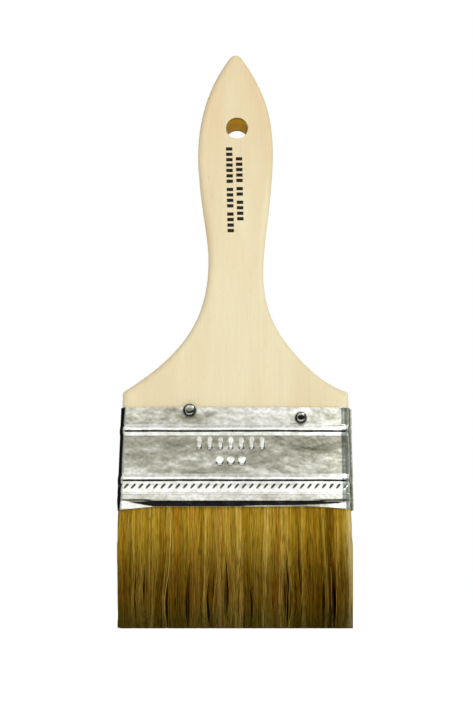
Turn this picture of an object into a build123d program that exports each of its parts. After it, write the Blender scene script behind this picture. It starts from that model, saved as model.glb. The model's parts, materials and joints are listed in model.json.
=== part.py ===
from build123d import *
import os
from math import cos, pi, sin

# A flat utility brush, nominally 3 in wide: a shaped wooden board, a beaded sheet-metal ferrule
# nailed to it, and two rows of bristle set in resin round a wooden filler strip.
# It stands on its bristle tips at z = 0, handle up, with its front toward -Y. Millimetres.

# Driving dimensions
overall_length = 195.8
free_bristle = 37.8  # from the tips up to the ferrule's mouth

ferrule_width = 75.3  # outside the sheet; the lock seam makes it up to the nominal 76.2
ferrule_depth = 12.8  # outside the sheet, at the crest of its crowned faces
ferrule_height = 32.7
face_crown = 0.3
corner_radius = 2.2
sheet = 0.3
lip_height = 2.3
lip_turn_in = 0.25
seam_breadth = 4.8
seam_thickness = 0.9

board_width = 74.4
board_thickness = 11.5
board_insertion = 12.7  # how far the board goes down into the ferrule
shoulder_height = 75.8
shoulder_radius = 1.5
board_edge_radius = 2.2
board_tip_radius = 2.4
tip_rounding = 1.6  # what the rounded tip takes off the pointed outline
hang_hole_radius = 3.8
hang_hole_height = 168.0
hang_hole_offset = 0.5

nail_shank_radius = 0.6
nail_hole_radius = 0.64
nail_length = 8.5
nail_point_length = 1.6
nail_head_radius = 1.55
nail_head_height = 1.3
front_nail_places = ((-15.0, 69.5), (21.3, 67.0))
rear_nail_places = ((-20.0, 68.4), (16.5, 68.4))

filler_width = 66.0
filler_thickness = 2.4
filler_height = 14.0
wall_gap = 0.05  # between the resin and the sheet or the filler strip

hinge_drop = 1.8  # the bristle bends about an axis this far below the mouth
hinge_gap = 0.4  # between the bristle's round root and the resin
bristle_half_depth = 5.3
bristle_tip_half_depth = 4.9
bristle_width = 73.8
bristle_corner_radius = 2.0

# Beads pressed round the sheet: the height of each one's lower edge, its breadth and how far it
# stands out. The lowest is the knurled one.
beads = ((41.7, 3.2, 0.55), (45.1, 3.6, 0.5), (61.3, 3.7, 0.5))
bead_steps = 4

# Marks raised on the front panel: a row of upright bars over a row of round pips
mark_rise = 0.2
mark_middle = -1.5
upper_mark_height = 58.8
lower_mark_height = 53.2
bar_count = 7
bar_pitch = 3.4
bar_length = 3.6
bar_breadth = 1.0
pip_count = 3
pip_pitch = 3.6
pip_radius = 1.0

# The board's outline above its shoulders: height, half width on the left and on the right. Hand
# shaping has left the right shoulder a little lower than the left.
board_outline = (
    (79.4, 31.9, 29.9),
    (88.0, 21.7, 20.5),
    (99.0, 13.7, 13.0),
    (110.5, 10.0, 9.7),
    (120.0, 9.15, 9.45),
    (138.0, 10.9, 11.2),
    (157.0, 12.9, 12.85),
    (175.7, 10.85, 11.1),
    (187.7, 6.3, 6.4),
)

# Places that follow from them
mouth = free_bristle
ferrule_top = mouth + ferrule_height
ferrule_face = ferrule_depth / 2
board_bottom = ferrule_top - board_insertion
pilot_reach = nail_length - ferrule_face + 0.1  # how far a nail's hole passes the mid-plane
resin_bottom = mouth + lip_height
resin_top = board_bottom - 0.1
filler_bottom = resin_top - filler_height
hinge_height = mouth - hinge_drop

# Which nails are driven from which side: 1 is the front, -1 the back
nail_sides = ((front_nail_places, 1), (rear_nail_places, -1))


def sheet_profile():
    """Returns (height, growth) pairs of the sheet's outside, from its mouth to its top."""
    profile = [(mouth, -lip_turn_in), (mouth + lip_height, 0)]
    for lower_edge, breadth, rise in beads:
        for step in range(bead_steps + 1):
            share = step / bead_steps
            profile.append((lower_edge + breadth * share, rise * sin(pi * share)))
    profile.append((ferrule_top, 0))
    return profile


def sheet_plan(height, growth):
    """The ferrule's plan at one height: crowned long faces and rounded corners."""
    half_width = ferrule_width / 2 + growth
    half_depth = ferrule_face + growth
    end_depth = half_depth - face_crown
    with BuildSketch(Plane.XY.offset(height)) as plan:
        with BuildLine():
            ThreePointArc((-half_width, -end_depth), (0, -half_depth), (half_width, -end_depth))
            Line((half_width, -end_depth), (half_width, end_depth))
            ThreePointArc((half_width, end_depth), (0, half_depth), (-half_width, end_depth))
            Line((-half_width, end_depth), (-half_width, -end_depth))
        make_face()
        fillet(plan.vertices(), corner_radius + growth)
    return plan.sketch


def nail_pair(places, side):
    """Round-headed nails driven in from one side of the ferrule."""
    outward = -side
    seat = outward * ferrule_face
    crest = outward * (ferrule_face + nail_head_height)
    point = outward * (ferrule_face - nail_length)
    neck = outward * (ferrule_face - nail_length + nail_point_length)
    with BuildPart() as nails:
        for x, z in places:
            with BuildSketch(Plane.XY.offset(z)):
                with BuildLine():
                    Polyline(
                        (x, crest),
                        (x, point),
                        (x + nail_shank_radius, neck),
                        (x + nail_shank_radius, seat),
                        (x + nail_head_radius, seat),
                    )
                    TangentArc((x, crest), (x + nail_head_radius, seat), tangent=(1, 0))
                make_face()
            revolve(axis=Axis((x, 0, z), (0, 1, 0)))
    return nails


def bristle_row(side):
    """The free length of one row of bristle, with a round root that turns in the mouth."""
    outward = -side
    root_height = hinge_height + bristle_half_depth
    on_arc = (
        outward * bristle_half_depth * cos(pi / 4),
        hinge_height + bristle_half_depth * sin(pi / 4),
    )
    with BuildPart() as row:
        with BuildSketch():
            RectangleRounded(bristle_width, 2 * bristle_half_depth, bristle_corner_radius)
        extrude(amount=root_height)
        with BuildSketch(Plane.YZ):
            with BuildLine():
                flank = Polyline(
                    (0, root_height),
                    (0, 0),
                    (outward * bristle_tip_half_depth, 0),
                    (outward * bristle_half_depth, hinge_height),
                )
                ThreePointArc(flank @ 1, on_arc, (0, root_height))
            make_face()
        extrude(amount=bristle_width / 2, both=True, mode=Mode.INTERSECT)
    return row


# Handle: one board, waisted above its shoulders, swelling to a pointed end with a hang hole
with BuildPart() as handle:
    with BuildSketch(Plane.XZ) as board_face:
        with BuildLine():
            Line((-board_width / 2, board_bottom), (board_width / 2, board_bottom))
            left_curve = [(-left, height) for height, left, right in board_outline]
            right_curve = [(right, height) for height, left, right in board_outline]
            for side, curve in ((-1, left_curve), (1, right_curve)):
                foot = (side * board_width / 2, board_bottom)
                side_edge = Line(foot, (side * board_width / 2, shoulder_height))
                Spline(side_edge @ 1, *curve, (0, overall_length + tip_rounding))
        make_face()
        fillet(board_face.vertices().sort_by(Axis.Y)[-1], board_tip_radius)
        fillet(board_face.vertices().group_by(Axis.Y)[1], shoulder_radius)
    extrude(amount=board_thickness / 2, both=True)
    broad_faces = handle.faces().sort_by(Axis.Y)
    long_edges = (broad_faces[0].edges() + broad_faces[-1].edges()).filter_by(
        lambda edge: edge.center().Z > board_bottom + 1
    )
    fillet(long_edges, board_edge_radius)
    with BuildSketch(Plane.XZ):
        with Locations((hang_hole_offset, hang_hole_height)):
            Circle(hang_hole_radius)
    extrude(amount=board_thickness, both=True, mode=Mode.SUBTRACT)
    for places, side in nail_sides:
        with BuildSketch(Plane.XZ.offset(-side * pilot_reach)):
            with Locations(*places):
                Circle(nail_hole_radius)
        extrude(amount=side * board_thickness, mode=Mode.SUBTRACT)

handle.part.label = "handle"

# Ferrule: one beaded sheet, its ends locked together in a flat seam on the right side
with BuildPart() as ferrule:
    loft([sheet_plan(height, growth) for height, growth in sheet_profile()], ruled=True)
    loft(
        [sheet_plan(height, growth - sheet) for height, growth in sheet_profile()],
        ruled=True,
        mode=Mode.SUBTRACT,
    )
    with BuildSketch(Plane.XY.offset(mouth)):
        with Locations((ferrule_width / 2 - sheet, 0)):
            Rectangle(sheet + seam_thickness, seam_breadth, align=(Align.MIN, Align.CENTER))
    extrude(amount=ferrule_height)
    with BuildSketch(Plane.XZ.offset(ferrule_face - sheet / 2)):
        with Locations((mark_middle, upper_mark_height)):
            with GridLocations(bar_pitch, bar_pitch, bar_count, 1):
                SlotOverall(bar_length, bar_breadth, rotation=90)
        with Locations((mark_middle, lower_mark_height)):
            with GridLocations(pip_pitch, pip_pitch, pip_count, 1):
                Circle(pip_radius)
    extrude(amount=sheet / 2 + mark_rise)
    for places, side in nail_sides:
        with BuildSketch(Plane.XZ):
            with Locations(*places):
                Circle(nail_hole_radius)
        extrude(amount=side * ferrule_depth, mode=Mode.SUBTRACT)

ferrule.part.label = "ferrule"

# Nails: two in the front and two in the back
front_nails = nail_pair(front_nail_places, 1)
front_nails.part.label = "front_nails"

rear_nails = nail_pair(rear_nail_places, -1)
rear_nails.part.label = "rear_nails"

# Filler strip: the thin piece of wood that keeps the two rows of bristle apart at their butts
with BuildPart() as filler_strip:
    with BuildSketch(Plane.XY.offset(filler_bottom)):
        Rectangle(filler_width, filler_thickness)
    extrude(amount=filler_height)

filler_strip.part.label = "filler_strip"

# Resin setting: it holds the bristle butts, and leaves room below for the bristle's round root
with BuildPart() as epoxy_setting:
    extrude(sheet_plan(resin_bottom, -sheet - wall_gap), amount=resin_top - resin_bottom)
    with BuildSketch(Plane.YZ):
        with Locations((0, hinge_height)):
            Circle(bristle_half_depth + hinge_gap)
    extrude(amount=ferrule_width / 2, both=True, mode=Mode.SUBTRACT)
    with BuildSketch(Plane.XY.offset(filler_bottom)):
        Rectangle(filler_width + 2 * wall_gap, filler_thickness + 2 * wall_gap)
    extrude(amount=filler_height, mode=Mode.SUBTRACT)

epoxy_setting.part.label = "epoxy_setting"

# Bristle: the free lengths of the two rows, which meet at the mid-plane and bend together
bristle_row_front = bristle_row(1)
bristle_row_front.part.label = "bristle_row_front"

bristle_row_rear = bristle_row(-1)
bristle_row_rear.part.label = "bristle_row_rear"

os.makedirs("parts", exist_ok=True)
export_step(handle.part, "parts/handle.step")
export_step(ferrule.part, "parts/ferrule.step")
export_step(front_nails.part, "parts/front_nails.step")
export_step(rear_nails.part, "parts/rear_nails.step")
export_step(filler_strip.part, "parts/filler_strip.step")
export_step(epoxy_setting.part, "parts/epoxy_setting.step")
export_step(bristle_row_front.part, "parts/bristle_row_front.step")
export_step(bristle_row_rear.part, "parts/bristle_row_rear.step")
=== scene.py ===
import json
from math import radians

import bpy
import numpy as np
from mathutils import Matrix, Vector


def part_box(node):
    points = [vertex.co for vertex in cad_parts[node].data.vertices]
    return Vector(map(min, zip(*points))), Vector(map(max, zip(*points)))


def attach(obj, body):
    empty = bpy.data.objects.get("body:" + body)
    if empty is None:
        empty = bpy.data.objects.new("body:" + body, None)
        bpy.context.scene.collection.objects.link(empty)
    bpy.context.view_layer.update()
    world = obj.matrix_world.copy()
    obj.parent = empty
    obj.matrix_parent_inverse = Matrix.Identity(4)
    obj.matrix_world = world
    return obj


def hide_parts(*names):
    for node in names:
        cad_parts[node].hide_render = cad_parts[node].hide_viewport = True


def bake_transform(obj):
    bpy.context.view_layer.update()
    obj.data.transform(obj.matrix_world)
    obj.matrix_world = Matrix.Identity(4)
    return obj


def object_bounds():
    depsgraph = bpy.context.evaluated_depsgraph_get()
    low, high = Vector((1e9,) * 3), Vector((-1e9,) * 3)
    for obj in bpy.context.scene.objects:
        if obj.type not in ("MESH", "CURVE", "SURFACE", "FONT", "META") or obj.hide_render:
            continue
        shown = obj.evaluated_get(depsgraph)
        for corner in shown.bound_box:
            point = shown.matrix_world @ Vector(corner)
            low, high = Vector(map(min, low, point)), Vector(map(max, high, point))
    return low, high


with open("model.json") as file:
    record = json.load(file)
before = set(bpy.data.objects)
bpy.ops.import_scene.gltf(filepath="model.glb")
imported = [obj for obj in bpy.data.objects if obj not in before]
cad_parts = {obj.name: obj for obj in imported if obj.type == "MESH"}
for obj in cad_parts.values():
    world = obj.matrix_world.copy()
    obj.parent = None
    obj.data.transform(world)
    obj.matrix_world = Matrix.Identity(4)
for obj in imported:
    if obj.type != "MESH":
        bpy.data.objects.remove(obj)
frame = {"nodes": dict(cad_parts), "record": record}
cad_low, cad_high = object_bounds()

# A flat utility brush that stands on its bristle tips at z = 0, its front toward -Y.
# Metres throughout, so a length given in millimetres is multiplied by MM.
MM = 0.001
SEED = 861

# ---- places taken from the frame
ferrule_low, ferrule_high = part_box("ferrule")
mouth, ferrule_top = ferrule_low.z, ferrule_high.z
board_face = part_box("handle")[0].y
hang_hole = frame["record"]["mounts"][0]

# ---- the ferrule's own sizes
cad_bead_rise = 0.55 * MM  # the ferrule's box is measured over its beads
face_crown = 0.3 * MM  # what the middle of a long face stands out beyond its ends
sheet_half_width = -ferrule_low.x - cad_bead_rise
sheet_half_depth = -ferrule_low.y - cad_bead_rise - face_crown  # at the ends of the long faces
corner_radius = 2.25 * MM
sheet = 0.3 * MM
lip_top = 40.1 * MM
lip_turn_in = 0.25 * MM
lip_flare = 0.3 * MM  # how much the lip's corners curl out again below its turn
lip_edge_rise = 0.45 * MM  # how far above the mouth the lip's edge is, away from its ends
lip_edge_drop = (1.2 * MM, 0.8 * MM)  # how far it comes down at the left end and at the right
lip_edge_bow = (25 * MM, 37 * MM)  # how far from the middle it starts and stops coming down
crease_roll = 0.1 * MM
crease_depth = 0.05 * MM
left_lean = 0.7 * MM  # how far the left end leans out toward the mouth
right_pull = 0.05 * MM  # how far the seam pulls the right end in
knurled_band = (42.2 * MM, 42.7 * MM, 45.3 * MM)  # lower edge, crest, upper edge
knurl_rise = 0.22 * MM
notch_depth = 0.2 * MM
notch_heights = (43.5 * MM, 45.5 * MM)  # the foot and the top of the band's notches
notch_slant = 0.75
knurl_pitch = 2.35 * MM
plain_beads = ((45.1 * MM, 48.7 * MM, 0.5 * MM), (61.2 * MM, 64.8 * MM, 0.5 * MM))
panel = (48.7 * MM, 61.2 * MM)
panel_hollow = 0.06 * MM

# Where the lip starts to curl out again, as a share of the way down from lip_top, and how much it
# does so: each at places along the front, in millimetres from the middle
curl_starts = ((-36.5, -24, -22, 0, 3, 24, 33, 37), (0.0, 0.95, 1.1, 1.1, 0.74, 0.5, 0.34, 0.1))
curl_strengths = ((0, 20, 29, 34), (1.0, 0.5, 0.75, 1.0))

# How the long faces fall back toward their ends: start, end, depth and power of each fall
end_falls = (
    (-27.0 * MM, -37.5 * MM, 0.08 * MM, 2.0),
    (30.8 * MM, 34.5 * MM, 0.07 * MM, 1.4),
    (34.5 * MM, 35.4 * MM, 0.09 * MM, 1.0),
)

# Marks pressed out of the front panel: a row of bars over a row of pips
mark_middle = -1.5 * MM
mark_rise = 0.15 * MM
bar_count, pip_count = 7, 3
bar_height, bar_pitch, bar_length, bar_breadth = 58.6 * MM, 3.4 * MM, 3.6 * MM, 1.3 * MM
pip_height, pip_pitch, pip_radius = 52.9 * MM, 3.6 * MM, 1.1 * MM

# Nails: (x, z) of each, their heads, and the bulge that driving them raises in the sheet
front_nail_places = ((-15.0 * MM, 69.5 * MM), (21.3 * MM, 67.0 * MM))
rear_nail_places = ((-20.0 * MM, 68.4 * MM), (16.5 * MM, 68.4 * MM))
nail_head_radii = (2.1 * MM, 1.85 * MM)  # the left and the right one of each pair
nail_head_height = 1.45 * MM
nail_shank_radius = 0.6 * MM
nail_shade_reach = 0.55 * MM  # how far the painted shade round a head reaches over the sheet
nail_droops = (0.03, 0.12)  # how steeply each head's upper side stands out beyond its lower side
bulge_radius = 2.3 * MM
bulge_rise = 0.12 * MM


# ---- shader helpers
def add_node(tree, kind, inputs=None, **settings):
    """Adds one shader node. An input is a plain value, or another node's output socket to link."""
    node = tree.nodes.new("ShaderNode" + kind)
    for name, value in settings.items():
        setattr(node, name, value)
    for key, value in (inputs or {}).items():
        if isinstance(value, bpy.types.NodeSocket):
            tree.links.new(value, node.inputs[key])
        else:
            node.inputs[key].default_value = value
    return node


def ramp(tree, factor, stops):
    """A colour ramp through (position, (r, g, b)) stops, or (position, grey) stops."""
    node = add_node(tree, "ValToRGB", {"Fac": factor})
    elements = node.color_ramp.elements
    while len(elements) < len(stops):
        elements.new(1.0)
    for element, (position, colour) in zip(elements, stops):
        element.position = position
        rgb = colour if isinstance(colour, tuple) else (colour,) * 3
        element.color = (*rgb, 1.0)
    return node.outputs["Color"]


def empty_tree(owner):
    """The node tree of a new material or world, with nothing in it."""
    owner.use_nodes = True
    owner.node_tree.nodes.clear()
    return owner.node_tree


def new_material(name, **uniform):
    """A material with a Principled shader, and its tree. What is the same all over it is set by
    keyword, with _ for each space in the input's name."""
    material = bpy.data.materials.new(name)
    tree = empty_tree(material)
    inputs = {key.replace("_", " "): value for key, value in uniform.items()}
    shader = add_node(tree, "BsdfPrincipled", inputs)
    add_node(tree, "OutputMaterial", {"Surface": shader.outputs["BSDF"]})
    return material, tree


def wired(material, colour, roughness=None, normal=None):
    """The material, with what varies over it linked to its shader."""
    tree = material.node_tree
    shader = tree.nodes["Principled BSDF"]
    for name, socket in (("Base Color", colour), ("Roughness", roughness), ("Normal", normal)):
        if socket is not None:
            tree.links.new(socket, shader.inputs[name])
    return material


def place(tree):
    """The point in the row frame, in metres."""
    return add_node(tree, "TexCoord").outputs["Object"]


def noise(tree, size, detail=2.0, roughness=0.5):
    """Noise from 0 to 1 whose grain is size = (x, y, z) in metres."""
    scale = tuple(1 / length for length in size)
    scaled = vector_node(tree, "MULTIPLY", place(tree), scale)["Vector"]
    inputs = {"Vector": scaled, "Scale": 1.0, "Detail": detail, "Roughness": roughness}
    return add_node(tree, "TexNoise", inputs).outputs["Fac"]


def math_node(tree, operation, *values):
    return add_node(tree, "Math", dict(enumerate(values)), operation=operation).outputs[0]


def vector_node(tree, operation, *values):
    return add_node(tree, "VectorMath", dict(enumerate(values)), operation=operation).outputs


def attribute(tree, name):
    """One of a mesh's own per-point values."""
    return add_node(tree, "Attribute", attribute_name=name).outputs["Fac"]


def split(tree, vector):
    return add_node(tree, "SeparateXYZ", {0: vector}).outputs


def remap(tree, value, low, high, new_low=0.0, new_high=1.0, smooth=False):
    """Value from low..high to new_low..new_high, clamped."""
    ends = {"From Min": low, "From Max": high, "To Min": new_low, "To Max": new_high}
    kind = "SMOOTHSTEP" if smooth else "LINEAR"
    settings = {"interpolation_type": kind, "clamp": True}
    return add_node(tree, "MapRange", {"Value": value, **ends}, **settings).outputs["Result"]


def mix_colour(tree, factor, first, second, blend_type="MIX"):
    first, second = ((*c, 1.0) if isinstance(c, tuple) else c for c in (first, second))
    inputs = {0: factor, 6: first, 7: second}
    return add_node(tree, "Mix", inputs, data_type="RGBA", blend_type=blend_type).outputs[2]


def fade(tree, value, low, high, first, second, most=1.0):
    """The first colour, and as value goes from low to high up to a share of most of the second."""
    return mix_colour(tree, remap(tree, value, low, high, 0.0, most), first, second)


def bump(tree, height, distance, normal=None):
    """A bumped normal. Distance is the height, in metres, that a value of 1 stands for."""
    inputs = {"Height": height, "Distance": distance, "Strength": 1.0}
    if normal is not None:
        inputs["Normal"] = normal
    return add_node(tree, "Bump", inputs).outputs["Normal"]


# ---- materials
def wood_material(name, pale, warm, dark, with_bore=False):
    """Unfinished close-grained wood, its grain along Z."""
    material, tree = new_material(name, Specular_IOR_Level=0.05)
    parts = split(tree, place(tree))
    height = parts["Z"]
    broad = noise(tree, (13 * MM, 9 * MM, 70 * MM), 3.0)
    broad = math_node(tree, "ADD", broad, remap(tree, height, 140 * MM, 198 * MM, -0.08, 0.25))
    streaks = noise(tree, (1.1 * MM, 1.4 * MM, 60 * MM), 4.0, 0.6)
    fibres = noise(tree, (0.16 * MM, 0.2 * MM, 5 * MM), 3.0, 0.6)
    flecks = noise(tree, (0.34 * MM, 0.4 * MM, 2.6 * MM), 1.0)
    colour = fade(tree, broad, 0.35, 0.68, pale, warm)
    colour = fade(tree, streaks, 0.52, 0.8, colour, warm, 0.5)
    colour = fade(tree, streaks, 0.5, 0.2, colour, dark, 0.16)
    colour = fade(tree, fibres, 0.5, 0.85, colour, dark, 0.22)
    colour = fade(tree, flecks, 0.70, 0.78, colour, dark, 0.3)
    if with_bore:
        colour = mix_colour(tree, on_bore_wall(tree), colour, bore_colour(tree, parts))
    rough = remap(tree, fibres, 0.2, 0.8, 0.5, 0.68)
    grain = bump(tree, fibres, 0.05 * MM)
    return wired(material, colour, rough, bump(tree, flecks, 0.04 * MM, grain))


def on_bore_wall(tree):
    """1 on the wall of the hang hole, and 0 elsewhere."""
    x, _, z = hang_hole["pos_m"]
    offset = vector_node(tree, "SUBTRACT", place(tree), (x, 0.0, z))["Vector"]
    flat = vector_node(tree, "MULTIPLY", offset, (1.0, 0.0, 1.0))["Vector"]
    distance = vector_node(tree, "LENGTH", flat)["Value"]
    radius = hang_hole["dims"]["r_mm"] * MM
    return remap(tree, distance, radius + 0.1 * MM, radius + 0.04 * MM)


def bore_colour(tree, parts):
    """The hang hole's wall: pale below, with painted shade that makes it darker and browner above
    and darkest near its rims above.
    """
    above = math_node(tree, "SUBTRACT", parts["Z"], hang_hole["pos_m"][2])
    lower = fade(tree, above, 0, 1.2 * MM, (0.66, 0.52, 0.31), (0.5, 0.36, 0.075))
    over_bore = remap(tree, above, 1.8 * MM, 3.2 * MM)
    shaded_upper_wall = mix_colour(tree, over_bore, lower, (0.6, 0.345, 0.01))
    to_face = math_node(tree, "ADD", math_node(tree, "ABSOLUTE", parts["Y"]), board_face)
    # Painted shade near both faces of the board, on the wall's upper part
    at_rim = remap(tree, to_face, -2.2 * MM, 0.0, smooth=True)
    rim_shade = math_node(tree, "MULTIPLY", at_rim, over_bore)
    return mix_colour(tree, rim_shade, shaded_upper_wall, (0.14, 0.085, 0.002))


def tin_material():
    """Bright rolled tinplate with a mottled crystal face and light handling marks."""
    material, tree = new_material("tinned_sheet", Metallic=1.0)
    mottle = noise(tree, (3.4 * MM, 3.4 * MM, 2.6 * MM), 1.0, 0.4)
    grain = noise(tree, (1.2 * MM, 1.2 * MM, 1.0 * MM), 1.0, 0.4)
    scratches = noise(tree, (9 * MM, 9 * MM, 0.12 * MM), 2.0)
    spangle = math_node(tree, "MULTIPLY_ADD", grain, 0.5, math_node(tree, "MULTIPLY", mottle, 0.5))
    colour = fade(tree, spangle, 0.35, 0.65, (0.66, 0.66, 0.60), (0.96, 0.96, 0.93))
    # Painted shade: near black in the knurled band's notches and round the nail heads, and rougher
    # there
    painted_shade = attribute(tree, "painted_shade")
    colour = mix_colour(tree, painted_shade, colour, (0.06, 0.062, 0.06))
    rough = math_node(tree, "MULTIPLY_ADD", mottle, 0.1, 0.06)
    rough = math_node(tree, "ADD", rough, remap(tree, scratches, 0.62, 0.8, 0.0, 0.12))
    rough = math_node(tree, "MULTIPLY_ADD", painted_shade, 0.3, rough)
    height = split(tree, place(tree))["Z"]
    raised = math_node(tree, "MULTIPLY", mottle, remap(tree, height, 42 * MM, 46 * MM, 0.35, 1.0))
    normal = bump(tree, raised, 0.05 * MM)
    normal = bump(tree, grain, 0.009 * MM, normal)
    return wired(material, colour, rough, bump(tree, scratches, 0.001 * MM, normal))


def slit_material():
    """Painted shade in the lock seam's slit: near black, with paler patches."""
    material, tree = new_material("seam_slit_painted_shade")
    patches = noise(tree, (3 * MM, 3 * MM, 2.2 * MM), 2.0)
    colour = fade(tree, patches, 0.5, 0.66, (0.012, 0.012, 0.009), (0.2, 0.19, 0.12))
    return wired(material, colour, remap(tree, patches, 0.3, 0.7, 0.6, 0.8))


def nail_material():
    """Bright drawn steel, faintly scuffed, with painted shade round the outer rim of each head."""
    material, tree = new_material("nail_steel", Metallic=1.0)
    scuffs = noise(tree, (0.3 * MM, 0.3 * MM, 0.3 * MM), 3.0)
    colour = mix_colour(tree, scuffs, (0.42, 0.42, 0.39), (0.56, 0.56, 0.53))
    # Painted shade on the heads' outer rims
    colour = mix_colour(tree, attribute(tree, "painted_shade"), colour, (0.045, 0.042, 0.035))
    rough = remap(tree, scuffs, 0.3, 0.75, 0.06, 0.2)
    return wired(material, colour, rough, bump(tree, scuffs, 0.004 * MM))


# The bristle's colour from its darkest strands to its palest, at the root, the belly and the tip
bristle_tones = (
    (
        (0.0, (0.03, 0.011, 0.0005)), (0.25, (0.15, 0.072, 0.002)), (0.55, (0.37, 0.215, 0.008)),
        (0.8, (0.56, 0.37, 0.035)), (1.0, (0.76, 0.58, 0.18)),
    ),
    (
        (0.0, (0.01, 0.003, 0.0002)), (0.35, (0.055, 0.0225, 0.0007)),
        (0.7, (0.18, 0.096, 0.002)), (1.0, (0.46, 0.33, 0.07)),
    ),
    (
        (0.0, (0.012, 0.006, 0.0004)), (0.35, (0.042, 0.025, 0.0008)),
        (0.7, (0.105, 0.073, 0.003)), (1.0, (0.31, 0.23, 0.06)),
    ),
)


def bristle_material():
    """Natural bristle: golden at the root and darker toward the tips, no two strands alike."""
    material, tree = new_material("bristle", Specular_IOR_Level=0.04)
    tone, warmth = attribute(tree, "tone"), attribute(tree, "warmth")
    along = attribute(tree, "along")
    root, belly, tip = (ramp(tree, tone, stops) for stops in bristle_tones)
    colour = mix_colour(tree, remap(tree, along, 0.15, 0.72, smooth=True), root, belly)
    colour = mix_colour(tree, remap(tree, along, 0.75, 0.97, smooth=True), colour, tip)
    rusty = mix_colour(tree, 1.0, colour, (1.0, 0.76, 0.6), "MULTIPLY")
    colour = fade(tree, warmth, 0.7, 0.85, colour, rusty)
    greenish = mix_colour(tree, 1.0, colour, (0.88, 0.94, 1.5), "MULTIPLY")
    colour = fade(tree, warmth, 0.3, 0.15, colour, greenish)
    fleck = noise(tree, (0.6 * MM, 0.6 * MM, 3.6 * MM), 2.0)
    shaded = mix_colour(tree, 1.0, colour, (0.5, 0.42, 0.3), "MULTIPLY")
    colour = fade(tree, fleck, 0.5, 0.72, colour, shaded, 0.75)
    return wired(material, colour, remap(tree, tone, 0.0, 1.0, 0.55, 0.42))


def core_material():
    """Painted shade for the inside of a row, near black, as it shows in the gaps between the
    locks.
    """
    material, tree = new_material("bristle_core_painted_shade", Specular_IOR_Level=0.04)
    strands = noise(tree, (0.5 * MM, 0.5 * MM, 14 * MM), 3.0)
    colour = fade(tree, strands, 0.35, 0.7, (0.018, 0.006, 0.0004), (0.1, 0.045, 0.001))
    return wired(material, colour, remap(tree, strands, 0.3, 0.7, 0.7, 0.6))


def resin_material():
    """Cured amber setting resin, hazy, with bristle butts showing through."""
    material, tree = new_material("setting_resin")
    butts = noise(tree, (0.25 * MM, 0.25 * MM, 9 * MM), 2.0)
    colour = mix_colour(tree, butts, (0.16, 0.075, 0.02), (0.42, 0.25, 0.09))
    rough = remap(tree, butts, 0.3, 0.7, 0.22, 0.4)
    return wired(material, colour, rough, bump(tree, butts, 0.05 * MM))


def ink_material():
    """Matt black stamping ink that lets a little of the grain through."""
    material, tree = new_material("stamp_ink", Specular_IOR_Level=0.08)
    wear = noise(tree, (0.2 * MM, 0.3 * MM, 1.2 * MM), 3.0)
    colour = fade(tree, wear, 0.55, 0.85, (0.012, 0.011, 0.01), (0.12, 0.1, 0.07))
    return wired(material, colour, remap(tree, wear, 0.3, 0.7, 0.45, 0.65))


# ---- mesh helpers
def into_scene(name, data):
    """A new object in the scene, for a mesh, a light or a camera."""
    thing = bpy.data.objects.new(name, data)
    bpy.context.scene.collection.objects.link(thing)
    return thing


def mesh_object(name, points, blocks, material, smooth=True):
    """A mesh object. Each block is an array of faces with as many corners as it has columns.
    Smooth is for all the faces at once, or for each."""
    sizes = np.concatenate([np.full(len(block), block.shape[1]) for block in blocks])
    corners = np.concatenate([block.reshape(-1) for block in blocks])
    mesh = bpy.data.meshes.new(name)
    mesh.vertices.add(len(points))
    mesh.vertices.foreach_set("co", points.reshape(-1))
    mesh.loops.add(len(corners))
    mesh.loops.foreach_set("vertex_index", corners)
    mesh.polygons.add(len(sizes))
    mesh.polygons.foreach_set("loop_start", np.cumsum(sizes) - sizes)
    mesh.polygons.foreach_set("use_smooth", np.ones(len(sizes), bool) & smooth)
    mesh.materials.append(material)
    mesh.update(calc_edges=True)
    return into_scene(name, mesh)


def grid_faces(rows, columns, wrap_rows=False, wrap_columns=False, first=0):
    """Quads over a rows x columns grid of points that starts at index first."""
    row = np.arange(rows if wrap_rows else rows - 1)[:, None]
    column = np.arange(columns if wrap_columns else columns - 1)[None, :]
    next_row = (row + 1) % rows
    next_column = (column + 1) % columns
    corners = (
        row * columns + column,
        row * columns + next_column,
        next_row * columns + next_column,
        next_row * columns + column,
    )
    return first + np.stack(np.broadcast_arrays(*corners), axis=-1).reshape(-1, 4)


def grid_points(x, y, z):
    return np.stack(np.broadcast_arrays(x, y, z), axis=-1).reshape(-1, 3)


def set_attribute(thing, name, values):
    layer = thing.data.attributes.new(name, "FLOAT", "POINT")
    layer.data.foreach_set("value", np.ascontiguousarray(values, np.float32))


def smoothstep(low, high, value):
    """0 up to low and 1 from high on, with a soft step between them."""
    share = np.clip((value - low) / (high - low), 0.0, 1.0)
    return share * share * (3 - 2 * share)


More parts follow.
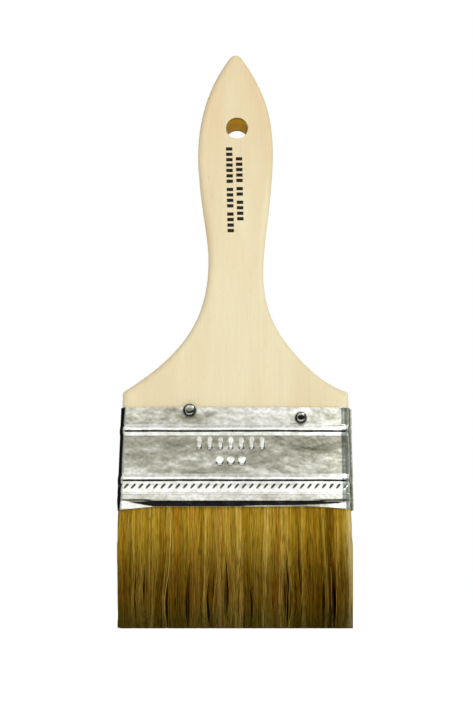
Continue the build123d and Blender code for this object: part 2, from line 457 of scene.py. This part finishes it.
# ---- ferrule
def half_path(step):
    """Half of the sheet's plan line, along the front face and round its right side, as points and
    outward normals. The points of the face are a step apart."""
    reach = sheet_half_width - corner_radius
    face_x = np.linspace(-reach, reach, round(2 * reach / step) + 1)
    slope = 2 * face_crown * face_x / sheet_half_width**2
    face_y = -sheet_half_depth - face_crown * (1 - (face_x / sheet_half_width) ** 2)
    face_normals = np.stack((slope, -np.ones_like(slope)), axis=1)
    face_normals /= np.linalg.norm(face_normals, axis=1)[:, None]
    face = np.stack((face_x, face_y), axis=1)

    def corner(start_angle, end_angle, centre):
        angles = np.linspace(start_angle, end_angle, 15)[1:]
        outward = np.stack((np.sin(angles), -np.cos(angles)), axis=1)
        return centre + corner_radius * outward, outward

    lean = np.arctan(slope[-1])
    front_centre = face[-1] - corner_radius * face_normals[-1]
    front_corner, front_normals = corner(lean, np.pi / 2, front_centre)
    rear_centre = front_centre * (1, -1)
    rear_corner, rear_normals = corner(np.pi / 2, np.pi - lean, rear_centre)
    side = np.linspace(front_corner[-1], front_corner[-1] * (1, -1), 16)[1:]
    side_normals = np.tile((1.0, 0.0), (len(side), 1))
    half = np.concatenate((face, front_corner, side, rear_corner[:-1]))
    half_normals = (face_normals, front_normals, side_normals, rear_normals[:-1])
    return half, np.concatenate(half_normals)


def ferrule_path():
    """The sheet's plan line, once round from the left end of the front face, as points, outward
    normals and distances along it."""
    front, front_normals = half_path(knurl_pitch / 12)
    back, back_normals = half_path(knurl_pitch / 6)
    points = np.concatenate((front, -back))
    normals = np.concatenate((front_normals, -back_normals))
    steps = np.linalg.norm(np.diff(points, axis=0), axis=1)
    return points, normals, np.concatenate(([0.0], np.cumsum(steps)))


def ferrule_rows():
    """Heights of the outside's rows above the lip: close together on the beads and the panel.
    Where the profile turns sharply, a row on either side keeps the turn crisp."""
    stretches = (
        (lip_top, knurled_band[0], 8),
        (knurled_band[0], knurled_band[1], 3),
        (knurled_band[1], plain_beads[0][0], 14),
        (*plain_beads[0][:2], 13),
        (*panel, 25),
        (*plain_beads[1][:2], 13),
        (plain_beads[1][1], ferrule_top, 10),
    )
    rows = [np.linspace(low, high, count, endpoint=False) for low, high, count in stretches]
    turns = [low for low, _, _ in stretches]
    beside = [turn + step for turn in turns for step in (-0.05 * MM, 0.05 * MM)]
    mark_feet = (bar_height - bar_length / 2, pip_height - pip_radius)
    at_feet = [foot + step * 0.1 * MM for foot in mark_feet for step in range(-2, 6)]
    rows = np.concatenate((*rows, beside[1:], at_feet, [ferrule_top - 0.05 * MM, ferrule_top]))
    return np.unique(rows.round(6))


def bead(z, low, high, rise):
    """A bead's rise over its two edges, at each height."""
    share = np.clip((z - low) / (high - low), 0.0, 1.0)
    return rise * np.sin(np.pi * share)


def notches(distance, z, total):
    """How deep in one of the knurled band's notches each point is, from 0 to 1. They are slanted
    wedges in the band's upper half, and narrow to a point at their lower left."""
    pitch = total / round(total / knurl_pitch)
    phase = (distance - notch_slant * (z - knurled_band[0])) / pitch
    phase = phase - np.floor(phase)
    foot, top = notch_heights
    up = np.clip((z - foot) / (1.7 * MM), 0.0, 1.0)
    half_breadth = 0.01 + 0.12 * up
    inside = smoothstep(half_breadth + 0.08, half_breadth - 0.05, np.abs(phase - 0.5))
    return inside * smoothstep(foot, foot + 0.8 * MM, z) * smoothstep(top, top - 0.4 * MM, z)


def knurl(distance, z, total):
    """The knurled band: it stands out most along its low crest, and falls away above it."""
    low, crest, high = knurled_band
    rise = np.interp(z, (low, crest, high), (0.0, knurl_rise, 0.0))
    return rise - notch_depth * notches(distance, z, total)


def marks(x, z):
    """The bars and pips pressed out of the front panel. Each stands out most at its lower end."""
    soft = 0.16 * MM  # half the breadth of a mark's flank
    raised = np.zeros(np.broadcast(x, z).shape)
    for count, pitch, height, half_length, radius in (
        (bar_count, bar_pitch, bar_height, bar_length / 2, bar_breadth / 2),
        (pip_count, pip_pitch, pip_height, pip_radius, pip_radius),
    ):
        up = z - height
        slope = np.clip(0.6 - up / (2 * half_length), 0.1, 1.1)
        beyond = np.maximum(np.abs(up) - (half_length - radius), 0.0)
        for index in range(count):
            across = x - mark_middle - (index - (count - 1) / 2) * pitch
            away = np.hypot(across, beyond) - radius
            raised = np.maximum(raised, smoothstep(soft, -soft, away) * slope)
    return mark_rise * raised


def nail_bulges(x, z, places):
    """How far driving the nails has raised the sheet round them."""
    rise = np.zeros(np.broadcast(x, z).shape)
    for nail_x, nail_z in places:
        rise += bulge_rise * np.exp(-((x - nail_x) ** 2 + (z - nail_z) ** 2) / bulge_radius**2)
    return rise


def nail_rings(x, z, places):
    """How much painted shade darkens the sheet round each nail head, from 0 to 1."""
    rings = np.zeros(np.broadcast(x, z).shape)
    for (nail_x, nail_z), head_radius in zip(places, nail_head_radii):
        away = np.hypot(x - nail_x, z - nail_z) - head_radius
        rings += 0.7 * smoothstep(nail_shade_reach, 0.0, away)
    return rings


def unevenness(distance, z, total):
    """The slight waviness of formed sheet: a few waves that close round the path."""
    random = np.random.default_rng(SEED)
    wave = np.zeros(np.broadcast(distance, z).shape)
    for _ in range(9):
        turns = random.integers(3, 17)
        tall = random.uniform(6, 22) * MM
        shift = random.uniform(0, 2 * np.pi, 2)
        along = np.sin(2 * np.pi * turns * distance / total + shift[0])
        wave += along * np.sin(2 * np.pi * z / tall + shift[1]) / turns
    return 0.065 * MM * wave


def lip_growth(x, z, on_side):
    """How far the lip stands out: it turns in below lip_top, and below a line that climbs toward
    its ends it curls out again."""
    below_lip = np.clip((lip_top - z) / (lip_top - mouth), 0.0, 1.1)
    curl = np.where(x < 0, 1.0, np.interp(x / MM, *curl_strengths)) * (1 - on_side)
    beyond = np.maximum(below_lip - np.interp(x / MM, *curl_starts), 0.0)
    return (lip_turn_in + lip_flare) * curl * beyond - lip_turn_in * below_lip


def strip_growth(x, z):
    """The plain strip over the lip rolls out a little toward the crease between them."""
    strip = np.clip((z - lip_top) / (knurled_band[0] - lip_top), 0.0, 1.0)
    crease = np.exp(-(((z - lip_top) / (0.2 * MM)) ** 2))
    near_end = smoothstep(24 * MM, 30 * MM, np.abs(x))
    return crease_roll * (1 - strip) - crease_depth * crease * near_end


def top_growth(x, z):
    """Over the beads the front's top edge stands out by 0.06 mm at its left end, and leans in by
    0.09 mm at the middle and 0.04 mm at its right end."""
    share = np.clip((z - plain_beads[1][1]) / (ferrule_top - plain_beads[1][1]), 0.0, 1.0)
    right = smoothstep(5 * MM, 25 * MM, x)
    lean_in = 0.15 * smoothstep(-30 * MM, -5 * MM, x) - 0.05 * right - 0.06
    return -lean_in * MM * share


def build_ferrule(material, slit_material):
    """One formed sheet: turned-in lip, knurled band, two plain beads, marks, nail bulges and raw
    top edge, with its lock seam on the right side."""
    plan, normals, distance = ferrule_path()
    total = distance[-1] + np.linalg.norm(plan[-1] - plan[0])
    distance = distance[None, :]
    x, y = plan[:, 0][None, :], plan[:, 1][None, :]
    on_front = (normals[:, 1] < -0.9).astype(float)[None, :]
    on_back = (normals[:, 1] > 0.9).astype(float)[None, :]
    on_side = smoothstep(0.5, 0.95, np.abs(normals[:, 0]))[None, :]
    on_seam = smoothstep(0.5, 0.95, normals[:, 0])[None, :]

    # The lip runs from its bowed lower edge up to lip_top
    lip_share = np.concatenate(([0, 0.03], np.linspace(0.12, 0.88, 7), [0.97]))[:, None]
    start, end = lip_edge_bow
    bow = np.clip((np.abs(x) - start) / (end - start), 0, 1)
    edge_height = mouth + lip_edge_rise - np.where(x < 0, *lip_edge_drop) * bow
    lip_z = edge_height + (lip_top - edge_height) * lip_share
    body_rows = ferrule_rows()[:, None]
    z = np.concatenate((lip_z, np.broadcast_to(body_rows, (len(body_rows), len(plan)))))

    def at_nails(measure):
        front = measure(x, z, front_nail_places) * on_front
        return front + measure(x, z, rear_nail_places) * on_back

    # How far each point stands out from the plain plan
    growth = lip_growth(x, z, on_side) + strip_growth(x, z)
    for start, end, depth, power in end_falls:
        fall = depth * np.clip((x - start) / (end - start), 0.0, 1.0) ** power
        growth = growth - fall * (1 - on_side)
    side_bead = 1 - 0.65 * on_side - 0.3 * on_seam
    growth = growth + knurl(distance, z, total) * side_bead
    for low, high, rise in plain_beads:
        growth = growth + bead(z, low, high, rise) * side_bead
    growth = growth - bead(z, *panel, panel_hollow) * (1 - on_side)
    growth = growth + top_growth(x, z) * on_front + marks(x, z) * on_front
    growth = growth + at_nails(nail_bulges)
    growth = growth + unevenness(distance, z, total) * (1 - 0.7 * on_side)

    toward_mouth = (ferrule_top - z) / (ferrule_top - mouth)
    lean = left_lean * smoothstep(0, -sheet_half_width, x) * toward_mouth
    lean = lean + right_pull * smoothstep(25 * MM, sheet_half_width, x)

    # The inside follows every twelfth row of the outside, from the top edge back down to the lip
    inner_rows = np.arange(len(z) - 1, 0, -12)
    order = np.concatenate((np.arange(len(z)), inner_rows, [0]))
    rows = len(order)
    growth, lean, z_all = growth[order], lean[order], z[order]
    growth[len(z) :] -= sheet
    points = grid_points(x + normals[:, 0] * growth - lean, y + normals[:, 1] * growth, z_all)
    faces = grid_faces(rows, len(plan), wrap_rows=True, wrap_columns=True)
    face_row = np.repeat(np.arange(rows), len(plan))
    smooth = (face_row != len(z) - 1) & (face_row != rows - 1)

    seam_points, seam_blocks, in_slit = lock_seam()
    blocks = [faces] + [len(points) + block for block in seam_blocks]
    smooth = np.concatenate((smooth, np.zeros(len(in_slit), bool)))
    all_points = np.concatenate((points, seam_points))
    thing = mesh_object("ferrule_sheet", all_points, blocks, material, smooth)
    # The slit's faces get the painted shade material
    thing.data.materials.append(slit_material)
    slots = np.concatenate((np.zeros(len(faces), int), in_slit.astype(int)))
    thing.data.polygons.foreach_set("material_index", slots)

    # Painted shade darkens the knurled band's notches and the sheet round the nails
    painted_shade = np.zeros(len(all_points))
    shade_mask = np.maximum(notches(distance, z, total), at_nails(nail_rings))
    painted_shade[: z.size] = shade_mask.reshape(-1)
    set_attribute(thing, "painted_shade", painted_shade)
    return thing


def lock_seam():
    """The folded strip of the lock seam, as points, blocks of faces and which faces line its slit:
    a hook of sheet, open toward the front, whose outer layer stands off the right side."""
    half = 2.4 * MM  # half the seam's breadth
    inside = sheet_half_width - right_pull - 0.3 * MM
    slit_inner = sheet_half_width - right_pull - 0.02 * MM
    slit_outer = slit_inner + 0.24 * MM
    outside = slit_outer + 0.48 * MM
    plan = np.array(
        [
            (inside, -half - 0.3 * MM),
            (slit_inner - 0.1 * MM, -half - 0.3 * MM),
            (slit_inner, -half - 0.2 * MM),
            (slit_inner, half - 0.6 * MM),
            (slit_outer, half - 0.6 * MM),
            (slit_outer, -half + 0.15 * MM),
            (slit_outer + 0.06 * MM, -half),
            (outside - 0.1 * MM, -half),
            (outside, -half + 0.1 * MM),
            (outside, half - 0.5 * MM),
            (outside - 0.5 * MM, half),
            (inside, half),
        ]
    )
    heights = np.linspace(mouth - 0.4 * MM, ferrule_top, 60)
    wave = 0.03 * MM * np.sin(heights / (5.2 * MM)) + 0.02 * MM * np.sin(heights / (1.9 * MM))
    outer_share = np.clip((plan[:, 0] - inside) / (outside - inside), 0.0, 1.0)
    x = plan[:, 0][None, :] + wave[:, None] * outer_share[None, :]

    # The slit opens where the outer layer passes over a bead
    for low, high, _ in plain_beads:
        opening = bead(heights, low - 0.6 * MM, high + 0.6 * MM, 0.16 * MM)
        x[:, 4:6] += opening[:, None]
    points = grid_points(x, plan[:, 1][None, :], heights[:, None])
    count = len(plan)
    walls = grid_faces(len(heights), count, wrap_columns=True)
    in_slit = np.isin(np.arange(len(walls)) % count, (2, 3, 4))

    # Each end is closed between the hook's inner and outer outline
    top = (len(heights) - 1) * count
    blocks = [walls]
    for lid in (
        np.array([(0, 1, 2, 3), (3, 4, 10, 11), (4, 5, 8, 9), (5, 6, 7, 8)]),
        np.array([(0, 3, 11), (4, 9, 10)]),
    ):
        blocks += [top + lid, lid[:, ::-1]]
        in_slit = np.concatenate((in_slit, np.zeros(2 * len(lid), bool)))
    return points, blocks, in_slit


# ---- nails
def build_nails(name, places, side, material):
    """Round-headed nails, knocked a little askew by the hammer: each head faces somewhat down and
    to one side."""
    around = 40
    turn = np.linspace(0, 2 * np.pi, around, endpoint=False)

    # The head's rings, from its undercut foot to just short of its crest
    head_sweep = np.radians(118)
    angles = np.pi / 2 - head_sweep * np.linspace(1, 0, 22)[:-1] ** 1.5
    head_shares = np.sqrt(np.cos(angles))
    foot = np.sin(angles[0])
    head_heights = nail_head_height * (np.sin(angles) - foot) / (1 - foot)
    shank_heights = (-7 * MM, -5.5 * MM, 0.0)
    heights = np.concatenate((shank_heights, head_heights, [nail_head_height]))
    random = np.random.default_rng(SEED + side)
    points, faces, painted_shade = [], [], []
    for (nail_x, nail_z), head_radius, droop in zip(places, nail_head_radii, nail_droops):
        shank_radii = (1e-6, nail_shank_radius, nail_shank_radius)
        radii = np.concatenate((shank_radii, head_radius * head_shares, [1e-6]))
        askew = random.uniform(0.0, 0.1)
        ring_x = radii[:, None] * np.cos(turn)
        ring_z = radii[:, None] * np.sin(turn)
        seat = sheet_half_depth + face_crown - 0.05 * MM
        out = seat + heights[:, None] + droop * ring_z + askew * ring_x
        first = sum(len(block) for block in points)
        points.append(grid_points(nail_x + ring_x, -side * out, nail_z + ring_z))
        rings = grid_faces(len(radii), around, wrap_columns=True, first=first)
        faces.append(rings if side > 0 else rings[:, ::-1])
        # Painted shade on the outer rim of each head
        painted_shade.append(np.repeat(smoothstep(0.64, 0.9, radii / head_radius), around))
    nails = mesh_object(name, np.concatenate(points), faces, material)
    set_attribute(nails, "painted_shade", np.concatenate(painted_shade))
    return nails


# ---- bristle
strand_sides = 3
ring_shares = np.array((0.0, 0.2, 0.36, 0.5, 0.61, 0.71, 0.8, 0.88, 0.95, 1.0))
bristle_depth = 5.4 * MM
root_height = 41.0 * MM  # where the strands start, up inside the ferrule

# How far each end of a row stands beyond the sheet's half width, at shares of the strands' length
end_shares = (0.0, 0.16, 0.4, 1.0)
left_end = (0.1 * MM, 0.3 * MM, 0.1 * MM, -0.5 * MM)
right_end = (-0.5 * MM, -0.3 * MM, -0.25 * MM, -0.65 * MM)

# Darker and lighter places along a row: middle, reach and change of tone
shaded_places = (
    (-36.5 * MM, 3.0 * MM, -0.12),
    (30.5 * MM, 2.0 * MM, -0.36),
    (35.8 * MM, 2.4 * MM, 0.24),
)


def draw_locks(random, breadth, depth, pulls, lean, tone):
    """Locks of one size: where each stands in its row, how hard and how low down it gathers, how
    it leans and how its colour differs."""
    count = round(2 * sheet_half_width * bristle_depth / (breadth * depth))
    across = random.uniform(-1, 1, count) * sheet_half_width
    return {
        "across": across,
        "out": random.uniform(0, 1, count) ** 0.7 * bristle_depth,
        "pull": random.uniform(*pulls, count),
        "peak": random.uniform(0.7, 0.86, count),
        "lean": random.normal(0, lean, count),
        "curl": random.normal(0, 0.4 * lean, count),
        "tone": random.normal(0, tone, count),
        "warmth": random.uniform(0, 1, count),
    }


def nearest(locks, across, out):
    """For each point, the index of the lock that stands nearest to it."""
    return np.hypot(across[:, None] - locks["across"], out[:, None] - locks["out"]).argmin(axis=1)


def gathering(locks, chosen, share):
    """How far each strand has been drawn into its lock, at each share of its length."""
    peak = locks["peak"][chosen][:, None]
    spread = smoothstep(0.0, 1.0, (share - peak) / (1 - peak))
    tightness = smoothstep(0.38, 1.0, share / peak) * (1 - 0.85 * spread)
    return locks["pull"][chosen][:, None] * tightness


def bending(locks, chosen, share):
    """How far each lock has moved sideways from where it leaves the mouth."""
    settled = smoothstep(0.25, 0.9, share) - 0.4 * smoothstep(0.84, 1.0, share)
    curling = np.sin(1.5 * np.pi * share) * smoothstep(0.1, 0.5, share)
    return locks["lean"][chosen][:, None] * settled + locks["curl"][chosen][:, None] * curling


def build_bristle(name, side, seed, count, material):
    """One share of a row's strands. They leave the mouth evenly, draw together into locks within
    wider locks, and spread again where they are cut square."""
    row_random = np.random.default_rng(SEED + 10 * side)
    wide = draw_locks(row_random, 2.4 * MM, 2.6 * MM, (0.15, 0.55), 0.6 * MM, 0.07)
    narrow = draw_locks(row_random, 0.9 * MM, 1.1 * MM, (0.6, 1.0), 0.6 * MM, 0.085)
    wide["lean"] += 0.6 * MM * np.sin(wide["across"] / (5.5 * MM) + 2.2 * side)
    random = np.random.default_rng(seed)

    # Where each strand leaves the mouth, more of them toward the outside
    across = random.uniform(-1, 1, count)
    at_end = random.uniform(0, 1, count) < 0.1
    across = np.where(at_end, np.sign(across) * (1 - 0.03 * random.uniform(0, 1, count)), across)
    out = random.uniform(0, 1, count) ** 0.5
    stray = random.uniform(0, 1, count) < 0.012
    out = np.where(stray, 1 - 0.04 * random.uniform(0, 1, count), out)
    start_x = across * sheet_half_width
    start_y = out * bristle_depth
    chosen = nearest(narrow, start_x + random.normal(0, 0.12 * MM, count), start_y)
    host = nearest(wide, narrow["across"], narrow["out"])[chosen]

    share = ring_shares[None, :]
    at_corner = smoothstep(0.975, 1.0, np.abs(across))
    tip_height = np.abs(random.normal(0, 0.16 * MM, count)).clip(0, 0.7 * MM)
    tip_height = tip_height + 0.6 * MM * at_corner
    z = root_height + (tip_height[:, None] - root_height) * share
    beyond_left = np.interp(share, end_shares, left_end)
    beyond_right = np.interp(share, end_shares, right_end)
    half_width = sheet_half_width + np.where(across[:, None] < 0, beyond_left, beyond_right)

    # The narrow lock's own line is drawn into the wide lock, and each strand into the narrow lock
    held = np.where(stray, 0.25, 1 - 0.6 * smoothstep(0.94, 1.0, np.abs(across)))[:, None]
    wide_gather = gathering(wide, host, share)
    narrow_gather = gathering(narrow, chosen, share)
    lock_start = narrow["across"][chosen][:, None]
    shift = (wide["across"][host][:, None] - lock_start) * wide_gather
    shift = shift + bending(wide, host, share) + bending(narrow, chosen, share)
    x = across[:, None] * half_width
    x = x + held * (shift + (lock_start - x) * narrow_gather)
    stray_lean = np.where(stray, random.normal(0, 1.2 * MM, count), 0.0)
    lean = random.normal(0, 0.34 * MM, count) + stray_lean
    bow = random.normal(0, 0.26 * MM, count)
    x = x + lean[:, None] * share + bow[:, None] * np.sin(np.pi * share)
    crimp = random.normal(0, 0.09 * MM, count)[:, None] * smoothstep(0.1, 0.5, share)
    waves = share * random.uniform(1.5, 3.5, count)[:, None] + across[:, None]
    x = x + crimp * np.sin(2 * np.pi * waves)

    y = start_y[:, None] * np.ones_like(share)
    follow = 0.5 * np.maximum(wide_gather, narrow_gather)
    y = y + held * (narrow["out"][chosen][:, None] - y) * follow
    y = y + 0.25 * MM * np.sin(np.pi * share) * out[:, None]
    y = y + random.normal(0, 0.15 * MM, count)[:, None] * share
    y = np.clip(y, 0.0, bristle_depth + 0.35 * MM)

    # The ferrule's corners hold the strands in at the root
    into_corner = np.clip(y - (bristle_depth + 0.3 * MM - corner_radius), 0.0, corner_radius)
    corner_cut = corner_radius - np.sqrt(corner_radius**2 - into_corner**2)
    limit = half_width + 0.1 * MM * random.uniform(-1, 0.5, count)[:, None]
    limit = limit - corner_cut * smoothstep(0.35, 0.1, share)
    x = np.clip(x, -limit, limit)
    y = -side * y

    radius = random.uniform(0.08, 0.14, count)[:, None] * MM * (1 - 0.4 * share)
    turn = random.uniform(0, 2 * np.pi, count)[:, None]
    rings = []
    for corner in range(strand_sides):
        angle = turn + 2 * np.pi * corner / strand_sides
        ring = (x + radius * np.cos(angle), y + radius * np.sin(angle), z)
        rings.append(np.stack(ring, axis=-1))
    points = np.stack(rings, axis=2).reshape(-1, 3)

    # Quads up each strand, and a three-sided cap on its cut tip
    per_strand = len(ring_shares) * strand_sides
    tube = grid_faces(len(ring_shares), strand_sides, wrap_columns=True)
    cap = np.arange(per_strand - strand_sides, per_strand)
    first = np.arange(count)[:, None, None] * per_strand
    quads = (first + tube[None, :, ::-1]).reshape(-1, 4)
    caps = (first[:, :, 0] + cap[None, :]).reshape(-1, 3)
    thing = mesh_object(name, points, (quads, caps), material)

    tone = random.normal(0.67, 0.07, count) + wide["tone"][host] + narrow["tone"][chosen]
    # Painted shade: strands deeper inside the row are darker
    tone = tone - 0.6 * smoothstep(0.96, 0.7, out)
    for middle, reach, change in shaded_places:
        tone = tone + change * np.exp(-(((start_x - middle) / reach) ** 2))
    tone = np.where(stray, random.normal(0.75, 0.12, count), tone)
    warmth = 0.75 * narrow["warmth"][chosen] + 0.25 * random.uniform(0, 1, count)
    vertex_share = np.broadcast_to(share, (count, len(ring_shares)))
    set_attribute(thing, "tone", np.repeat(tone.clip(0, 1), per_strand))
    set_attribute(thing, "warmth", np.repeat(warmth, per_strand))
    set_attribute(thing, "along", np.repeat(vertex_share.reshape(-1), strand_sides))
    map_strands(thing, count, vertex_share)
    return thing


def build_core(name, side, material):
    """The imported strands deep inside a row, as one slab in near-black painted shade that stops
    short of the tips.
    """
    rows = 40
    heights = np.linspace(2.2 * MM, root_height - 0.5 * MM, rows)
    at_height = heights / MM
    reach = sheet_half_width - np.interp(at_height, (0, 12, 34, 41), (5, 3, 2.4, 2.6)) * MM
    depth = np.interp(at_height, (0, 12, 34), (2.4, 3.0, 4.0)) * MM
    x = np.stack((-reach, reach, reach, -reach), axis=1)
    y = -side * np.stack((depth, depth, 0 * depth, 0 * depth), axis=1)
    points = grid_points(x, y, heights[:, None])
    foot = np.arange(4)
    lids = (foot[::-1], len(points) - 4 + foot)
    faces = np.concatenate((grid_faces(rows, 4, wrap_columns=True), lids))
    faces = faces if side > 0 else faces[:, ::-1]
    return mesh_object(name, points, [faces], material, smooth=False)


def map_strands(thing, count, vertex_share):
    """A texture map in which each strand has a cell of its own, so that no strand's colour runs
    into its neighbour's."""
    across = int(np.ceil(np.sqrt(count * 12)))
    down = int(np.ceil(count / across))
    cell = np.arange(count)[:, None, None]
    corner = np.arange(strand_sides) / strand_sides
    u = (cell % across + 0.1 + 0.8 * corner) / across
    v = (cell // across + 0.04 + 0.92 * vertex_share[:, :, None]) / down
    per_vertex = np.stack(np.broadcast_arrays(u, v), axis=-1).reshape(-1, 2)
    loops = np.empty(len(thing.data.loops), np.int32)
    thing.data.loops.foreach_get("vertex_index", loops)
    layer = thing.data.uv_layers.new(name="OFBake")
    layer.data.foreach_set("uv", per_vertex[loops].reshape(-1).astype(np.float32))


# ---- print on the handle
def build_print(material):
    """Two rows of plain dashes stamped on the front face, in runs of uneven length."""
    rows = (
        (-2.2 * MM, 161.0 * MM, (7, 4, 4)),
        (1.2 * MM, 157.4 * MM, (5, 2, 4)),
    )
    pitch, dash, breadth, gap = 1.95 * MM, 1.2 * MM, 2.2 * MM, 1.0 * MM
    proud, sunk = 0.02 * MM, 0.1 * MM
    points, faces = [], []
    corners = np.indices((2, 2, 2)).reshape(3, -1).T
    box = np.array(
        [(0, 1, 3, 2), (4, 6, 7, 5), (0, 4, 5, 1), (2, 3, 7, 6), (0, 2, 6, 4), (1, 5, 7, 3)]
    )
    for row_x, top, runs in rows:
        z = top
        for run in runs:
            for _ in range(run):
                drift = 0.02 * (top - z)
                low = np.array((row_x + drift - breadth / 2, board_face - proud, z - dash))
                size = np.array((breadth, proud + sunk, dash))
                faces.append(box + 8 * len(points))
                points.append(low + corners * size)
                z -= pitch
            z -= gap
    return mesh_object("stamped_dashes", np.concatenate(points), faces, material, smooth=False)


# ---- assembling the brush
pale_wood = ((0.755, 0.668, 0.45), (0.70, 0.555, 0.345), (0.48, 0.35, 0.19))
filler_wood = ((0.72, 0.56, 0.36), (0.62, 0.45, 0.26), (0.35, 0.22, 0.11))


def dress_node(node, material):
    """A CAD node keeps its shape and gets a better material."""
    frame["nodes"][node].data.materials.clear()
    frame["nodes"][node].data.materials.append(material)


dress_node("handle", wood_material("handle_wood", *pale_wood, with_bore=True))
dress_node("filler_strip", wood_material("filler_wood", *filler_wood))
dress_node("epoxy_setting", resin_material())

ferrule = build_ferrule(tin_material(), slit_material())
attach(ferrule, "handle_side")
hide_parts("ferrule")

steel = nail_material()
nail_pairs = (("front_nails", front_nail_places, 1), ("rear_nails", rear_nail_places, -1))
for name, places, side in nail_pairs:
    nails = build_nails(name + "_round_head", places, side, steel)
    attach(nails, "handle_side")
    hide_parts(name)

dashes = build_print(ink_material())
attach(dashes, "handle_side")

bristle, shade_core_bristle = bristle_material(), core_material()
shares_per_row = 4
strands_per_share = 3500
for name, side in (("bristle_row_front", 1), ("bristle_row_rear", -1)):
    pieces = [build_core(f"{name}_core", side, shade_core_bristle)]
    for share in range(shares_per_row):
        strands_name = f"{name}_strands_{share}"
        seed = SEED + 100 * (side + 2) + share
        pieces.append(build_bristle(strands_name, side, seed, strands_per_share, bristle))
    for piece in pieces:
        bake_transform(piece)
        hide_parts(name)


# ---- studio
def build_floor():
    """A plain pale floor. Only its reflection in the bright metal is left out."""
    material, tree = new_material(
        "floor",
        Roughness=0.9,
        Specular_IOR_Level=0.1,
        Emission_Color=(1.0, 1.0, 1.0, 1.0),
        Emission_Strength=0.56,
    )
    speckle = noise(tree, (0.02, 0.02, 0.02), 2.0)
    colour = mix_colour(tree, speckle, (0.9, 0.9, 0.9), (0.93, 0.93, 0.93))
    around, radius = 64, 9.0
    turn = np.linspace(0, 2 * np.pi, around, endpoint=False)
    points = radius * np.stack((np.cos(turn), np.sin(turn), 0 * turn), axis=1)
    floor = mesh_object("floor", points, [np.arange(around)[None, :]], wired(material, colour))
    floor.location.z = -0.02 * MM
    floor.visible_glossy = False


def build_backdrop():
    """A white shell that only the camera sees, so that it neither lights nor mirrors."""
    material = bpy.data.materials.new("backdrop")
    tree = empty_tree(material)
    glow = add_node(tree, "Emission", {"Color": (1.0, 1.0, 1.0, 1.0), "Strength": 1.0})
    add_node(tree, "OutputMaterial", {"Surface": glow.outputs[0]})
    bpy.ops.mesh.primitive_uv_sphere_add(radius=10.0, segments=48, ring_count=24)
    backdrop = bpy.context.object
    backdrop.name = "backdrop"
    backdrop.data.materials.append(material)
    for rays in ("diffuse", "glossy", "transmission", "shadow"):
        setattr(backdrop, "visible_" + rays, False)


# The studio's light by height, in degrees above eye level: in front, and at the sides and behind
front_light = (
    (-90, 0.03), (-58, 0.03), (-45, 1.05), (-21, 1.25), (-17.5, 0.015), (2.6, 0.015),
    (4.6, (0.40, 0.39, 0.31)), (7.8, (0.46, 0.45, 0.375)), (9.3, (0.82, 0.82, 0.74)),
    (11, (0.93, 0.93, 0.87)), (13, 1.3), (32, 1.35), (37, 0.72), (60, 0.72), (90, 1.15),
)
side_light = ((-90, 0.3), (-25, 1.0), (-6, 0.3), (3, 0.42), (8, 0.5), (25, 1.0), (90, 1.1))
side_from, side_full = 19, 34  # degrees off the front, where one goes over to the other

# And what it is multiplied by round about, in degrees from the front to the right
round_light = (
    (-180, 1.0), (-160, 0.9), (-148, 0.012), (-64, 0.012), (-53, 0.75), (-8, 1.05),
    (0, 0.88), (5, 1.0), (8, 1.5), (12, 1.4), (18, (0.34, 0.39, 0.37)),
    (62, (0.42, 0.48, 0.46)), (72, (0.95, 0.93, 0.8)), (98, (0.9, 0.88, 0.72)),
    (104, (0.1, 0.1, 0.07)), (124, (0.1, 0.1, 0.07)), (132, (0.72, 0.7, 0.56)),
    (165, 0.95), (180, 1.0),
)


def build_world():
    """Soft studio surroundings: white overhead and low in front, with a dark band at eye level
    between them, and black, grey-blue and cream walls round about."""
    world = bpy.data.worlds.new("studio")
    bpy.context.scene.world = world
    tree = empty_tree(world)
    parts = split(tree, add_node(tree, "TexCoord").outputs["Generated"])
    up = remap(tree, math_node(tree, "ARCSINE", parts["Z"]), radians(-90), radians(90))
    ahead = math_node(tree, "MULTIPLY", parts["Y"], -1.0)
    turned = math_node(tree, "ARCTAN2", parts["X"], ahead)
    turned = remap(tree, turned, radians(-180), radians(180))

    def wall(factor, full, stops):
        places = [((degrees + full) / (2 * full), light) for degrees, light in stops]
        return ramp(tree, factor, places)

    off_front = math_node(tree, "ABSOLUTE", math_node(tree, "SUBTRACT", turned, 0.5))
    to_one_side = remap(tree, off_front, side_from / 360, side_full / 360, smooth=True)
    front, sides = wall(up, 90, front_light), wall(up, 90, side_light)
    vertical = mix_colour(tree, to_one_side, front, sides)
    both = mix_colour(tree, 1.0, vertical, wall(turned, 180, round_light), "MULTIPLY")
    overhead = remap(tree, parts["Z"], 0.82, 0.97, smooth=True)
    colour = mix_colour(tree, overhead, both, vertical)
    background = add_node(tree, "Background", {"Color": colour, "Strength": 1.0})
    add_node(tree, "OutputWorld", {"Surface": background.outputs[0]})


def add_key_light():
    """A square softbox aimed at the middle of the brush. The camera doesn't see it."""
    light = bpy.data.lights.new("key", "AREA")
    light.shape = "SQUARE"
    light.size = 0.5
    light.energy = 5.75
    lamp = into_scene("key", light)
    lamp.location = (0.55, -0.95, 0.95)
    aim = (cad_low + cad_high) / 2 - lamp.location
    lamp.rotation_euler = aim.to_track_quat("-Z", "Y").to_euler()
    lamp.visible_camera = False


def add_camera():
    """The viewpoint: low in front of the bristle, looking up a little."""
    data = bpy.data.cameras.new("camera")
    data.sensor_width = 36.0
    data.lens = 59.14
    data.clip_start = 0.01
    data.clip_end = 50.0
    camera = into_scene("camera", data)
    camera.location = (0.33 * MM, -385 * MM, 7.5 * MM)
    camera.rotation_euler = (radians(90 + 11.9), 0.0, 0.0)
    bpy.context.scene.camera = camera


build_floor()
build_backdrop()
build_world()
add_key_light()
add_camera()
bpy.context.scene.view_settings.view_transform = "Standard"
